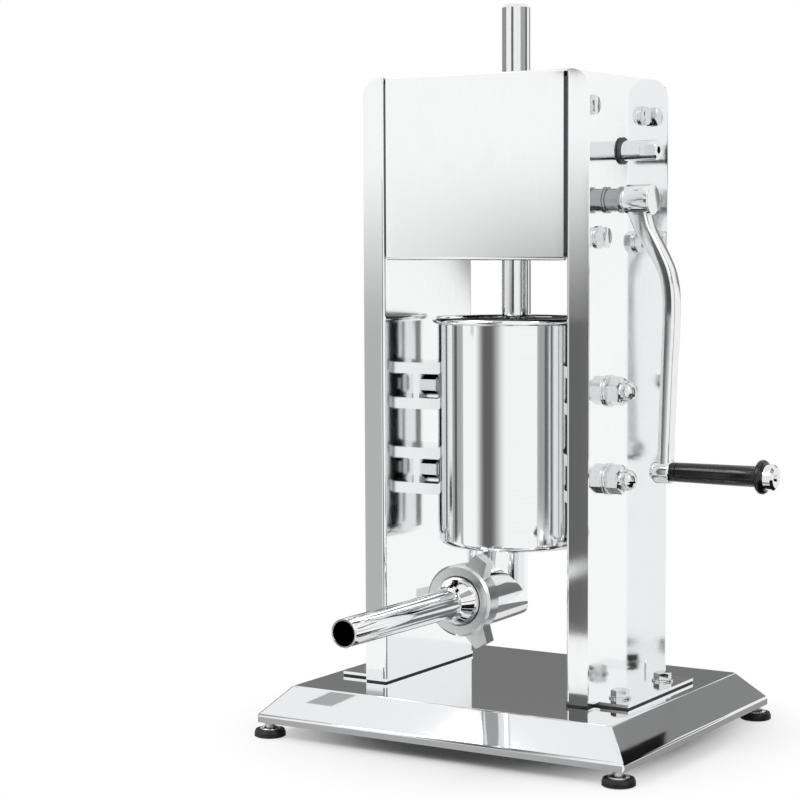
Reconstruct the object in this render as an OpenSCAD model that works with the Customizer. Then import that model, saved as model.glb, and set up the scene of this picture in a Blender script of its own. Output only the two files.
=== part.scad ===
/* [Frame] */
// Clear width between the two uprights
frame_gap = 180; // [150:1:215]
// Front to back depth of an upright
frame_depth = 155; // [130:1:185]
// Height of the uprights' top above the floor
frame_top = 580; // [520:1:690]
// How far the upright flanges stand out from the inner face
flange_w = 21; // [17:0.5:25]
// Sheet thickness of the uprights
sheet = 2; // [1.5:0.1:3]
// Radius of the outer top corner of a flange
corner_r = 17; // [8:1:20]

/* [Base] */
// Overall width of the base pan
base_w = 360; // [330:1:432]
// Overall depth of the base pan
base_d = 300; // [270:1:360]
// Horizontal run of the sloping sides
slope_run = 23; // [15:1:28]
// Height of the flat top above the floor
base_top = 44; // [38:1:54]
// Height of the upright lip
lip_h = 6.5; // [4:0.5:9]
// Height of the lip's lower edge above the floor
foot_h = 13; // [11:1:16]

/* [Cylinder] */
// Outside diameter of the meat cylinder
cyl_d = 140; // [116:1:150]
// Height of the cylinder from its bottom to the rim
cyl_h = 202; // [165:1:240]
// Height of the cylinder's bottom above the floor
cyl_z = 168; // [155:1:180]
// Wall thickness of the cylinder
cyl_wall = 1.5; // [1.2:0.1:2.5]

/* [Drive] */
// Gear and rack module
gear_m = 2; // [2:0.1:2.4]
// Teeth on the rack pinion
rack_teeth = 14; // [14:1:16]
// Teeth on the small gear
small_teeth = 13; // [13:1:15]
// Teeth on the large gear
large_teeth = 39; // [36:1:42]
// Diameter of the rack rod
rod_d = 26; // [22:0.5:28]
// Diameter of both drive shafts
shaft_d = 18; // [15:0.5:18]

/* [Crank] */
// Distance from the crank's shaft to its grip
crank_r = 232; // [195:1:250]
// Length of the turning grip
grip_len = 74; // [62:1:90]

/* [Filling tube] */
// Length of the filling tube from its bell to its mouth
tube_len = 160; // [130:1:195]
// Outside diameter of the filling tube's mouth
tube_d = 23.6; // [20:0.2:28]

/* [Hidden] */
$fn = 64;
eps = 0.01;
// base pan
pan_t = 1.5;
top_w = base_w - 2 * slope_run;
top_d = base_d - 2 * slope_run;
lip_top = foot_h + lip_h;
foot_inset = 8.5;
foot_x = base_w / 2 - foot_inset;
foot_y = base_d / 2 - foot_inset;
stud_r = 5;
pad_r = 14;
pad_h = foot_h * 0.5;
rail_z = foot_h + 1;
rail_t = 3;
rail_w = 20;
rail_y = base_d / 2 - pan_t - rail_w / 2;
run_gap = 0.05;
// uprights and their feet
web_in = frame_gap / 2;
web_out = web_in + sheet;
flange_x = web_in + flange_w;
half_d = frame_depth / 2;
gasket_t = 1.5;
plate_t = 2.5;
plate_z = base_top + gasket_t;
web_z = plate_z + plate_t;
lip_rise = 10;
flange_z = web_z + lip_rise;
tab_x = web_in + 53;
tab_y = half_d - 11.5;
foot_bolt_x = web_in + 34;
foot_bolt_y = half_d - 35;
foot_bolt_r = 4;
// gear housing
box_bottom = frame_top - 159;
side_t = 3;
side_in = web_in - side_t;
skin = 1.5;
skin_y = half_d - skin;
hem_r = 3;
gap_to_web = 2.5;
box_bolt_r = 5;
// each bolt: Y, Z, corner radius of its head, height of its washer and head
box_bolts = [
  [-36, frame_top - 28, 8.3, 6],
  [half_d - 13.5, frame_top - 33, 8.3, 6],
  [-22, frame_top - 140, 9.6, 9.2],
  [half_d - 23.5, frame_top - 144, 9.6, 9.2]
];
washer_t = 1.8;
// drive
pitch_rack = gear_m * rack_teeth / 2;
pitch_small = gear_m * small_teeth / 2;
pitch_large = gear_m * large_teeth / 2;
rod_r = rod_d / 2;
rack_tip_y = rod_r - 1.4;
rack_addendum = 0.8 * gear_m;
rack_pitch_y = rack_tip_y - rack_addendum;
fast_y = rack_pitch_y + pitch_rack;
fast_z = frame_top - 65;
slow_drop = 43;
slow_y = fast_y - sqrt(pow(pitch_small + pitch_large, 2) - slow_drop * slow_drop);
slow_z = fast_z - slow_drop;
shaft_r = shaft_d / 2;
seat_r = shaft_r - 0.2;
bush_r = shaft_r + 2.4;
gear_x = rod_r + 17;
gear_face = 12;
bracket_x = gear_x + gear_face + 16;
bracket_t = 5;
boss_r = 8;
backlash = 0.35;
large_phase = 180 + atan2(slow_drop, fast_y - slow_y);
small_phase = atan2(slow_drop, fast_y - slow_y) + 180 / small_teeth;
guide_r = rod_r + 6;
bar_t = 7;
bar_half = guide_r + 6;
// rod and piston
rod_top = frame_top + 64.5;
rod_len = frame_top - 190;
piston_top = rod_top - rod_len;
piston_t = 20;
piston_z = piston_top - piston_t;
bore_r = cyl_d / 2 - cyl_wall;
seal_r = bore_r - 0.3;
rack_pitch = PI * gear_m;
travel_down = piston_z - cyl_z - 4;
travel_up = box_bottom - piston_top - 8;
gaps_up = ceil((travel_down + 18) / rack_pitch);
gaps_down = ceil((travel_up + 18) / rack_pitch);
valve_y = -bore_r * 0.66;
// cylinder and outlet
cyl_r = cyl_d / 2;
cyl_top = cyl_z + cyl_h;
bead_r = 2.8;
edge_r = 6;
out_r = 27;
out_bore = 25;
out_y = -cyl_r / 2;
out_z = cyl_z - 38;
flange_end = -(cyl_r + 24);
clip_z = [cyl_z + cyl_h * 0.307, cyl_z + cyl_h * 0.688];
clip_h = 21;
clip_half = 24;
clip_t = 3;
strap_h = 10;
clip_bolt_r = 6;
// filling tube
ring_back = flange_end + 6;
ring_front = flange_end - 10;
ring_r = 31;
lug_r = 43;
bell_r = 21;
mouth_y = ring_front - tube_len - 18.5;
mouth_r = tube_d / 2;
tube_bore = mouth_r - 1.5;
// crank
hub_x0 = web_out + 20;
hub_x1 = hub_x0 + 24;
hub_r = 13;
arm_half = 8;
grip_z = slow_z - crank_r;
grip_x = web_out + 67.4;
ferrule_x = grip_x - 4.4;
spindle_r = 4;
collar_r = 14.5;
grip_x1 = grip_x + grip_len;

// ---------- shared shapes ----------

// round bar along +X from x0 to x1
module bar_x(x0, x1, r, y, z) {
  translate([x0, y, z]) rotate([0, 90, 0]) cylinder(h = x1 - x0, r = r);
}

// round bar along +Y from y0 to y1
module bar_y(y0, y1, r, x, z) {
  translate([x, y0, z]) rotate([-90, 0, 0]) cylinder(h = y1 - y0, r = r);
}

// box from one corner to the other
module block(a, b) {
  translate(a) cube([b[0] - a[0], b[1] - a[1], b[2] - a[2]]);
}

// hexagonal prism along +X, r is the corner radius
module hex_x(x0, x1, r, y, z) {
  translate([x0, y, z]) rotate([0, 90, 0]) cylinder(h = x1 - x0, r = r, $fn = 6);
}

function inv_deg(a) = tan(a) * 180 / PI - a;

// half the tooth's angle at radius r, in degrees
function half_tooth(r, rp, teeth) =
  let (rb = rp * cos(20))
  let (at_pitch = 90 / teeth - backlash / rp * 90 / PI / 2 + inv_deg(20))
  at_pitch - inv_deg(acos(min(1, rb / max(r, rb))));

// outline of a spur gear, first tooth on +X of the sketch
function gear_points(rp, teeth, tip, root) = [
  for (i = [0 : teeth - 1])
    for (s = [
      [root, -half_tooth(rp * 0.945, rp, teeth) * 0.86],
      [rp * 0.945, -half_tooth(rp * 0.945, rp, teeth)],
      [rp, -half_tooth(rp, rp, teeth)],
      [(rp + tip) / 2, -half_tooth((rp + tip) / 2, rp, teeth)],
      [tip, -half_tooth(tip, rp, teeth)],
      [tip, half_tooth(tip, rp, teeth)],
      [(rp + tip) / 2, half_tooth((rp + tip) / 2, rp, teeth)],
      [rp, half_tooth(rp, rp, teeth)],
      [rp * 0.945, half_tooth(rp * 0.945, rp, teeth)],
      [root, half_tooth(rp * 0.945, rp, teeth) * 0.86]
    ])
      [s[0] * cos(360 * i / teeth + s[1]), s[0] * sin(360 * i / teeth + s[1])]
];

// spur gear along +X; phase turns the first tooth from +Y towards +Z
module gear_x(x0, x1, y, z, rp, teeth, tip, root, phase) {
  translate([x0, y, z])
    multmatrix([[0, 0, 1, 0], [1, 0, 0, 0], [0, 1, 0, 0], [0, 0, 0, 1]])
      rotate([0, 0, phase])
        linear_extrude(height = x1 - x0)
          polygon(gear_points(rp, teeth, tip, root));
}

// ---------- base ----------

// truncated pyramid with an upright lip, shrunk by t all round
module pan_solid(t, z0, z1) {
  hull() {
    block([-base_w / 2 + t, -base_d / 2 + t, z0], [base_w / 2 - t, base_d / 2 - t, lip_top - t * 0.4]);
    block([-top_w / 2 + t, -top_d / 2 + t, z1 - 0.5], [top_w / 2 - t, top_d / 2 - t, z1]);
  }
}

module base_pan() {
  color("silver") difference() {
    pan_solid(0, foot_h, base_top);
    pan_solid(pan_t, foot_h - 1, base_top - pan_t);
    for (x = [-foot_bolt_x, foot_bolt_x])
      for (y = [-foot_bolt_y, foot_bolt_y])
        translate([x, y, base_top - 5]) cylinder(h = 10, r = foot_bolt_r + 0.3);
  }
}

// angle bar inside the lip that carries two levelling feet; side is -1 front, 1 rear
module rail(side) {
  color("dimgray") difference() {
    union() {
      translate([0, side * rail_y, rail_z + rail_t / 2])
        cube([base_w - 2 * pan_t - 0.4, rail_w, rail_t], center = true);
      translate([0, side * (rail_y - rail_w / 2 + rail_t / 2), rail_z + rail_t + 5])
        cube([base_w - 70, rail_t, 12], center = true);
    }
    for (x = [-foot_x, foot_x])
      translate([x, side * foot_y, rail_z - 1]) cylinder(h = rail_t + 2, r = stud_r + run_gap);
  }
}

module front_rail() { rail(-1); }
module rear_rail() { rail(1); }

// threaded stud with a thin flange that sits in the pad
module foot_stud(x, y) {
  color("silver") translate([x, y, 0]) {
    translate([0, 0, pad_h - 2]) cylinder(h = lip_top - pad_h + 2, r = stud_r);
    translate([0, 0, pad_h - 2]) cylinder(h = 3, r = 9);
  }
}

// rubber disc with a recess for the stud's flange
module foot_pad(x, y) {
  color("black") translate([x, y, 0]) difference() {
    rotate_extrude() polygon([
      [0, 0], [pad_r - 0.5, 0], [pad_r, 0.5], [pad_r, pad_h - 1.5], [pad_r - 1.5, pad_h], [0, pad_h]
    ]);
    translate([0, 0, pad_h - 2]) cylinder(h = 5, r = 9);
  }
}

module foot_stud_fl() { foot_stud(-foot_x, -foot_y); }
module foot_stud_fr() { foot_stud(foot_x, -foot_y); }
module foot_stud_rl() { foot_stud(-foot_x, foot_y); }
module foot_stud_rr() { foot_stud(foot_x, foot_y); }
module foot_pad_fl() { foot_pad(-foot_x, -foot_y); }
module foot_pad_fr() { foot_pad(foot_x, -foot_y); }
module foot_pad_rl() { foot_pad(-foot_x, foot_y); }
module foot_pad_rr() { foot_pad(foot_x, foot_y); }

// ---------- uprights ----------

// plan outline of the channel's outer skin, inner corners rounded
module channel_plan() {
  r = sheet + 1;
  translate([web_in + r, -half_d]) square([flange_w - r, frame_depth]);
  translate([web_in, -half_d + r]) square([flange_w, frame_depth - 2 * r]);
  for (y = [-half_d + r, half_d - r])
    translate([web_in + r, y]) circle(r = r);
}

// side view of one flange with its rounded top corner, drawn in X and Z
module flange_side() {
  translate([web_in, flange_z]) square([flange_w - corner_r, frame_top - flange_z]);
  translate([web_in, flange_z]) square([flange_w, frame_top - corner_r - flange_z]);
  translate([flange_x - corner_r, frame_top - corner_r]) circle(r = corner_r);
}

module web_holes() {
  for (b = box_bolts) bar_x(web_in - 5, web_out + 5, box_bolt_r + 0.25, b[0], b[1]);
  for (z = clip_z) bar_x(web_in - 5, web_out + 5, clip_bolt_r + 0.25, 0, z);
  bar_x(web_in - 5, web_out + 5, bush_r, fast_y, fast_z);
}

// channel that opens outwards, on the +X side
module upright() {
  difference() {
    intersection() {
      union() {
        block([web_in, -half_d, web_z], [web_out, half_d, frame_top]);
        for (y = [half_d, -half_d + sheet])
          translate([0, y, 0]) rotate([90, 0, 0]) linear_extrude(height = sheet) flange_side();
      }
      linear_extrude(height = frame_top + 10) channel_plan();
    }
    web_holes();
  }
}

module right_upright() {
  color("gainsboro") difference() {
    upright();
    bar_x(web_in - 5, web_out + 5, bush_r, slow_y, slow_z);
  }
}

module left_upright() {
  color("gainsboro") mirror([1, 0, 0]) upright();
}

// outline of the foot plate seen from above
module foot_plan(inset) {
  translate([web_in + inset, -half_d + inset])
    square([flange_w - 2 * inset, frame_depth - 2 * inset]);
  translate([web_in + inset, -tab_y + inset])
    square([tab_x - web_in - 2 * inset, 2 * tab_y - 2 * inset]);
}

module foot_holes(z) {
  for (y = [-foot_bolt_y, foot_bolt_y])
    translate([foot_bolt_x, y, z - 1]) cylinder(h = 8, r = foot_bolt_r + 0.3);
}

// plate under an upright with a low lip front and back under the flanges
module foot_plate() {
  color("silver") difference() {
    union() {
      translate([0, 0, plate_z]) linear_extrude(height = plate_t) foot_plan(0);
      for (y = [-half_d, half_d - sheet])
        block([web_in, y, web_z - eps], [flange_x, y + sheet, flange_z]);
    }
    block([web_in - 1, -half_d + sheet, web_z], [web_out, half_d - sheet, flange_z + 1]);
    block([web_in - 1, -half_d - 1, web_z], [web_out + 1, half_d + 1, flange_z + 1]);
    foot_holes(plate_z);
  }
}

module foot_gasket() {
  color("black") difference() {
    translate([0, 0, base_top]) linear_extrude(height = gasket_t) foot_plan(0.4);
    foot_holes(base_top);
  }
}

module right_foot_plate() { foot_plate(); }
module left_foot_plate() { mirror([1, 0, 0]) foot_plate(); }

module gaskets() {
  foot_gasket();
  mirror([1, 0, 0]) foot_gasket();
}

module foot_bolts() {
  color("silver")
    for (x = [-foot_bolt_x, foot_bolt_x])
      for (y = [-foot_bolt_y, foot_bolt_y])
        translate([x, y, 0]) {
          translate([0, 0, base_top - 14]) cylinder(h = web_z - base_top + 15, r = foot_bolt_r);
          translate([0, 0, web_z]) cylinder(h = 1.6, r = 9.5);
          translate([0, 0, web_z + 1.6]) cylinder(h = 6, r = 8, $fn = 6);
        }
}

module foot_nuts() {
  color("silver")
    for (x = [-foot_bolt_x, foot_bolt_x])
      for (y = [-foot_bolt_y, foot_bolt_y])
        translate([x, y, base_top - pan_t - 8]) difference() {
          union() {
            cylinder(h = 6.4, r = 7.5, $fn = 6);
            translate([0, 0, 6.4]) cylinder(h = 1.6, r = 9);
          }
          translate([0, 0, -1]) cylinder(h = 12, r = foot_bolt_r);
        }
}

// ---------- gear housing ----------

// front, top and rear skin in one bent sheet, its lower edges hemmed
module gear_housing() {
  half = web_in - gap_to_web;
  color("whitesmoke") difference() {
    union() {
      for (s = [-1, 1]) {
        y0 = s < 0 ? -half_d : skin_y;
        block([-half, y0, box_bottom + hem_r], [half, y0 + skin, frame_top - 2]);
        bar_x(-half, half, hem_r, s * (half_d - hem_r), box_bottom + hem_r);
      }
      block([-half, -half_d + 2, frame_top - skin], [half, half_d - 2, frame_top]);
      for (s = [-1, 1])
        intersection() {
          difference() {
            bar_x(-half, half, 4, s * (half_d - 4), frame_top - 4);
            bar_x(-half - 1, half + 1, 4 - skin, s * (half_d - 4), frame_top - 4);
          }
          translate([0, s * (half_d - 2), frame_top - 2]) cube([2 * half + 2, 4, 4], center = true);
        }
    }
    translate([0, 0, frame_top - 10]) cylinder(h = 20, r = guide_r);
  }
}

module side_plate() {
  difference() {
    block([side_in, -skin_y, box_bottom + 3], [web_in, skin_y, frame_top - skin]);
    for (s = [-1, 1]) {
      bar_x(side_in - 1, web_in + 1, hem_r + 0.4, s * (half_d - hem_r), box_bottom + hem_r);
      block([side_in - 1, s > 0 ? skin_y - 4 : -skin_y - 1, frame_top - 6],
            [web_in + 1, s > 0 ? skin_y + 1 : -skin_y + 4, frame_top]);
    }
    for (b = box_bolts) bar_x(side_in - 1, web_in + 1, box_bolt_r, b[0], b[1]);
    bar_x(side_in - 1, web_in + 1, bush_r, fast_y, fast_z);
  }
}

module left_side_plate() {
  color("dimgray") mirror([1, 0, 0]) side_plate();
}

module right_side_plate() {
  color("dimgray") difference() {
    side_plate();
    bar_x(side_in - 1, web_in + 1, bush_r, slow_y, slow_z);
  }
}

// plate on four posts inside the right side, carries the slow shaft's inner bush
module gear_bracket() {
  color("slategray") difference() {
    union() {
      block([bracket_x, box_bolts[0][0] - 9, box_bottom + bar_t + 4],
            [bracket_x + bracket_t, box_bolts[1][0] + 5, box_bolts[0][1] + 9]);
      for (b = box_bolts) bar_x(bracket_x, side_in, boss_r, b[0], b[1]);
    }
    for (b = box_bolts) bar_x(side_in - 18, side_in + 1, box_bolt_r, b[0], b[1]);
    bar_x(bracket_x - 1, bracket_x + bracket_t + 1, bush_r, slow_y, slow_z);
    bar_x(bracket_x - 1, bracket_x + bracket_t + 1, shaft_r + 3, fast_y, fast_z);
  }
}

// cross bar at the bottom of the housing with the lower guide's seat
module guide_bar() {
  color("dimgray") difference() {
    block([-side_in, -bar_half, box_bottom + 3], [side_in, bar_half, box_bottom + 3 + bar_t]);
    translate([0, 0, box_bottom]) cylinder(h = 20, r = guide_r);
  }
}

module rod_bore(z0, z1) {
  translate([0, 0, z0]) cylinder(h = z1 - z0, r = rod_r + run_gap);
}

module top_guide() {
  color("ivory") difference() {
    union() {
      translate([0, 0, frame_top - 14]) cylinder(h = 15, r = guide_r);
      translate([0, 0, frame_top - 14]) cylinder(h = 14 - skin, r = guide_r + 4);
    }
    rod_bore(frame_top - 20, frame_top + 10);
  }
}

module lower_guide() {
  color("ivory") difference() {
    union() {
      translate([0, 0, box_bottom]) cylinder(h = 14, r = guide_r);
      translate([0, 0, box_bottom]) cylinder(h = 3, r = guide_r + 4);
    }
    rod_bore(box_bottom - 5, box_bottom + 20);
  }
}

// washer, hexagon head and shank of the eight housing bolts
module box_bolt_set() {
  color("silver")
    for (s = [0, 1])
      mirror([s, 0, 0])
        for (b = box_bolts) {
          bar_x(side_in - 12 * (1 - s), web_out + 4, box_bolt_r, b[0], b[1]);
          bar_x(web_out, web_out + washer_t, b[2] + 0.4, b[0], b[1]);
          hex_x(web_out + washer_t, web_out + b[3], b[2], b[0], b[1]);
        }
}

// ---------- shafts and gears ----------

// fast shaft with its rack pinion
// its free end is a slightly smaller crank seat with one flat and a centre hole
module fast_shaft() {
  end = web_out + 35;
  color("silver") difference() {
    union() {
      bar_x(-web_out + 1, web_out + 6, shaft_r, fast_y, fast_z);
      bar_x(web_out + 5, end - 1, seat_r, fast_y, fast_z);
      translate([end - 1, fast_y, fast_z]) rotate([0, 90, 0]) cylinder(h = 1, r1 = seat_r, r2 = seat_r - 1);
      gear_x(-rod_r, rod_r, fast_y, fast_z, pitch_rack, rack_teeth,
             pitch_rack + 0.9 * gear_m, pitch_rack - 1.15 * gear_m, 180);
    }
    bar_x(end - 8, end + 1, 3.2, fast_y, fast_z);
    block([web_out + 20.5, fast_y - shaft_r - 1, fast_z - shaft_r - 1],
          [end + 1, fast_y - shaft_r + 1.5, fast_z + shaft_r + 1]);
  }
}

module large_gear() {
  color("lightsteelblue") difference() {
    union() {
      gear_x(gear_x, gear_x + gear_face, fast_y, fast_z, pitch_large, large_teeth,
             pitch_large + 0.8 * gear_m, pitch_large - 1.2 * gear_m, large_phase);
      bar_x(gear_x + gear_face - eps, bracket_x - 2, shaft_r + 7, fast_y, fast_z);
    }
    bar_x(gear_x - 1, bracket_x, shaft_r, fast_y, fast_z);
    for (a = [0 : 72 : 359])
      bar_x(gear_x - 1, gear_x + gear_face + 1, 6,
            fast_y + pitch_large * 0.66 * cos(a), fast_z + pitch_large * 0.66 * sin(a));
  }
}

module slow_shaft() {
  color("silver") bar_x(gear_x - 4, hub_x1 - 6, shaft_r, slow_y, slow_z);
}

module small_gear() {
  root = pitch_small - 1.15 * gear_m;
  color("lightsteelblue") difference() {
    gear_x(gear_x - 1, gear_x + gear_face + 3, slow_y, slow_z, pitch_small, small_teeth,
           pitch_small + 0.9 * gear_m, root, small_phase);
    bar_x(gear_x - 2, gear_x + gear_face + 4, shaft_r, slow_y, slow_z);
  }
}

// bronze bush from x0 to x1
module bush(x0, x1, y, z) {
  color("darkgoldenrod") difference() {
    bar_x(x0, x1, bush_r, y, z);
    bar_x(x0 - 1, x1 + 1, shaft_r + run_gap, y, z);
  }
}

module fast_bush_left() { bush(-web_out, -side_in + 3, fast_y, fast_z); }
module fast_bush_right() { bush(side_in - 3, web_out, fast_y, fast_z); }
module slow_bush_outer() { bush(side_in - 3, web_out, slow_y, slow_z); }
module slow_bush_inner() {
  bush(bracket_x - 2, bracket_x + bracket_t + 4, slow_y, slow_z);
}

// thin retaining ring against the web
module fast_collar() {
  color("silver") difference() {
    bar_x(web_out + 0.3, web_out + 1.9, bush_r + 0.4, fast_y, fast_z);
    bar_x(web_out - 1, web_out + 3, shaft_r, fast_y, fast_z);
  }
}

// spacer sleeve with a rim at each end, between the web and the crank's hub
module slow_collar() {
  color("silver") difference() {
    union() {
      bar_x(web_out + 0.3, web_out + 15, shaft_r + 1, slow_y, slow_z);
      bar_x(web_out + 0.3, web_out + 2, bush_r, slow_y, slow_z);
      bar_x(web_out + 13.3, web_out + 15, bush_r, slow_y, slow_z);
    }
    bar_x(web_out - 1, web_out + 16, shaft_r, slow_y, slow_z);
  }
}

// ---------- rod and piston ----------

// tooth gaps of the rack, drawn in Y and Z
module rack_gaps() {
  root_y = rack_pitch_y - 1.2 * gear_m;
  half_root = rack_pitch / 4 + backlash / 4 - 1.2 * gear_m * tan(20);
  half_tip = rack_pitch / 4 + backlash / 4 + (rod_r - rack_pitch_y) * tan(20);
  for (i = [-gaps_down : gaps_up])
    translate([0, fast_z + i * rack_pitch])
      polygon([[root_y, -half_root], [rod_r + 0.5, -half_tip], [rod_r + 0.5, half_tip], [root_y, half_root]]);
}

module rack_rod() {
  low = fast_z - (gaps_down + 0.7) * rack_pitch;
  high = fast_z + (gaps_up + 0.7) * rack_pitch;
  color("silver") difference() {
    union() {
      translate([0, 0, piston_top]) cylinder(h = rod_len - 3, r = rod_r);
      translate([0, 0, rod_top - 3]) cylinder(h = 3, r1 = rod_r, r2 = rod_r - 3);
      translate([0, 0, piston_z - 1]) cylinder(h = piston_t + 2, r = 8);
    }
    block([-rod_r - 1, rack_tip_y, low], [rod_r + 1, rod_r + 1, high]);
    multmatrix([[0, 0, 1, -rod_r - 1], [1, 0, 0, 0], [0, 1, 0, 0], [0, 0, 0, 1]])
      linear_extrude(height = 2 * rod_r + 2) rack_gaps();
  }
}

// disc with a groove for the seal and a recess for the nut underneath
module piston_disc() {
  color("gainsboro") difference() {
    translate([0, 0, piston_z]) rotate_extrude() polygon([
      [8, 0], [seal_r - 3, 0], [seal_r - 1, 2], [seal_r - 1, 6], [seal_r - 5, 6], [seal_r - 5, 14],
      [seal_r - 1, 14], [seal_r - 1, 18], [seal_r - 3, piston_t], [8, piston_t]
    ]);
    translate([0, 0, piston_z - 1]) cylinder(h = 10, r = 16);
    translate([0, valve_y, piston_z - 1]) cylinder(h = piston_t + 2, r = 5);
  }
}

module piston_seal() {
  color("white") translate([0, 0, piston_z]) rotate_extrude() polygon([
    [seal_r - 5, 6], [seal_r - 0.8, 6], [seal_r, 7.5], [seal_r, 12.5], [seal_r - 0.8, 14], [seal_r - 5, 14]
  ]);
}

module piston_nut() {
  color("silver") difference() {
    translate([0, 0, piston_z + 1]) cylinder(h = 8, r = 14, $fn = 6);
    translate([0, 0, piston_z]) cylinder(h = 10, r = 8);
  }
}

// mushroom valve that lets air out above the piston
module air_valve() {
  color("firebrick") {
    translate([0, valve_y, piston_z + 0.5]) cylinder(h = piston_t, r = 5);
    translate([0, valve_y, piston_top]) cylinder(h = 3, r = 8);
    translate([0, valve_y, piston_top + 3 - eps]) cylinder(h = 3, r1 = 5, r2 = 3.5);
  }
}

// ---------- cylinder and outlet ----------

// straight wall with a rolled bead round the mouth
module cylinder_can() {
  color("silver") difference() {
    union() {
      translate([0, 0, cyl_z + edge_r]) cylinder(h = cyl_h - edge_r - bead_r, r = cyl_r, $fn = 128);
      translate([0, 0, cyl_top - bead_r])
        rotate_extrude($fn = 128)
          translate([cyl_r + bead_r - cyl_wall * 0.6, 0]) circle(r = bead_r, $fn = 32);
    }
    translate([0, 0, cyl_z + edge_r - 1]) cylinder(h = cyl_h, r = bore_r, $fn = 128);
  }
}

// quarter of a round edge between the bottom and the wall, radius r
module bottom_edge(r) {
  translate([0, 0, cyl_z + edge_r])
    rotate_extrude($fn = 128) intersection() {
      translate([cyl_r - edge_r, 0]) circle(r = r);
      translate([cyl_r - edge_r, -edge_r]) square([edge_r, edge_r]);
    }
}

// dished bottom welded under the wall, with the outlet hole near the front
module cylinder_base() {
  color("silver") difference() {
    union() {
      translate([0, 0, cyl_z]) cylinder(h = edge_r, r = cyl_r - edge_r, $fn = 128);
      bottom_edge(edge_r);
    }
    translate([0, 0, cyl_z + cyl_wall]) cylinder(h = edge_r, r = cyl_r - edge_r, $fn = 128);
    bottom_edge(edge_r - cyl_wall);
    translate([0, out_y, cyl_z - 5]) cylinder(h = 20, r = out_bore);
  }
}

// two tubes joined by a bevelled mitre, with a flange for the ring nut
module outlet_elbow() {
  color("silver") difference() {
    union() {
      translate([0, out_y, out_z]) cylinder(h = cyl_z - out_z, r = out_r);
      bar_y(flange_end, out_y, out_r, 0, out_z);
      intersection() {
        translate([0, out_y, out_z - out_r]) cylinder(h = out_r + eps, r = out_r);
        bar_y(out_y - out_r, out_y + out_r, out_r, 0, out_z);
        translate([0, out_y + 2.8, out_z - 2.8]) rotate([45, 0, 0]) cube([80, 50, 50], center = true);
      }
      bar_y(flange_end, flange_end + 5, out_r + 2.5, 0, out_z);
    }
    translate([0, out_y, out_z]) cylinder(h = cyl_z - out_z + 1, r = out_bore);
    bar_y(flange_end - 1, out_y, out_bore, 0, out_z);
    intersection() {
      translate([0, out_y, out_z - out_bore]) cylinder(h = out_bore + 1, r = out_bore);
      bar_y(out_y - out_bore, out_y + out_bore, out_bore, 0, out_z);
      translate([0, out_y + 2.5, out_z - 2.5]) rotate([45, 0, 0]) cube([80, 47, 47], center = true);
    }
  }
}

// clip between the can and the right upright at height z, two broad straps on a plate
module clip(z) {
  color("silver") difference() {
    union() {
      block([web_in - clip_t, -clip_half, z - clip_h], [web_in, clip_half, z + clip_h]);
      for (dz = [-clip_h, clip_h - strap_h])
        block([cyl_r - 6, -clip_half, z + dz], [web_in - clip_t + eps, clip_half, z + dz + strap_h]);
    }
    translate([0, 0, z - clip_h - 1]) cylinder(h = 2 * clip_h + 2, r = cyl_r, $fn = 128);
    bar_x(web_in - 10, web_in + 5, clip_bolt_r, 0, z);
  }
}

module clip_right_low() { clip(clip_z[0]); }
module clip_right_high() { clip(clip_z[1]); }
module clip_left_low() { mirror([1, 0, 0]) clip(clip_z[0]); }
module clip_left_high() { mirror([1, 0, 0]) clip(clip_z[1]); }

module clip_studs() {
  color("silver")
    for (s = [0, 1])
      mirror([s, 0, 0])
        for (z = clip_z) {
          hex_x(web_in - clip_t - 8, web_in - clip_t, 10, 0, z);
          bar_x(web_in - clip_t - eps, web_out + 12, clip_bolt_r, 0, z);
        }
}

module clip_washers() {
  color("silver")
    for (s = [0, 1])
      mirror([s, 0, 0])
        for (z = clip_z)
          difference() {
            bar_x(web_out, web_out + 2.5, 14, 0, z);
            bar_x(web_out - 1, web_out + 4, clip_bolt_r + 0.2, 0, z);
          }
}

// hexagonal nuts with a domed end
module clip_nuts() {
  color("silver")
    for (s = [0, 1])
      mirror([s, 0, 0])
        for (z = clip_z)
          difference() {
            union() {
              hex_x(web_out + 2.5, web_out + 14, 13, 0, z);
              bar_x(web_out + 14 - eps, web_out + 17, 9.4, 0, z);
              translate([web_out + 17, 0, z]) rotate([0, 90, 0]) rotate_extrude() intersection() {
                circle(r = 9.4);
                square([10, 10]);
              }
            }
            bar_x(web_out + 1, web_out + 12.2, clip_bolt_r, 0, z);
          }
}

// ---------- filling tube ----------

module nozzle_seal() {
  color("white") difference() {
    bar_y(flange_end - 1.5, flange_end, out_r, 0, out_z);
    bar_y(flange_end - 3, flange_end + 1, out_bore - 0.5, 0, out_z);
  }
}

// profile of revolution about Y: points are [radius, distance forward of the seal]
module filling_tube() {
  reach = flange_end - 1.5 - mouth_y;
  color("silver") translate([0, flange_end - 1.5, out_z]) rotate([90, 0, 0]) rotate_extrude() polygon([
    [out_bore - 4, 0], [out_r, 0], [out_r, 3], [bell_r, 3], [bell_r, 9], [bell_r - 0.5, 12],
    [bell_r - 2, 16.5], [bell_r - 4.4, 21], [bell_r - 6.8, 25], [mouth_r + 1, 29.5],
    [mouth_r, reach - 40], [mouth_r, reach - 0.6], [mouth_r - 0.6, reach],
    [tube_bore, reach], [tube_bore, reach - 40], [tube_bore + 1, 30], [bell_r - 8.6, 24],
    [bell_r - 6, 19.5], [bell_r - 3.6, 14.5], [bell_r - 2, 9], [bell_r - 2, 3]
  ]);
}

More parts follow.
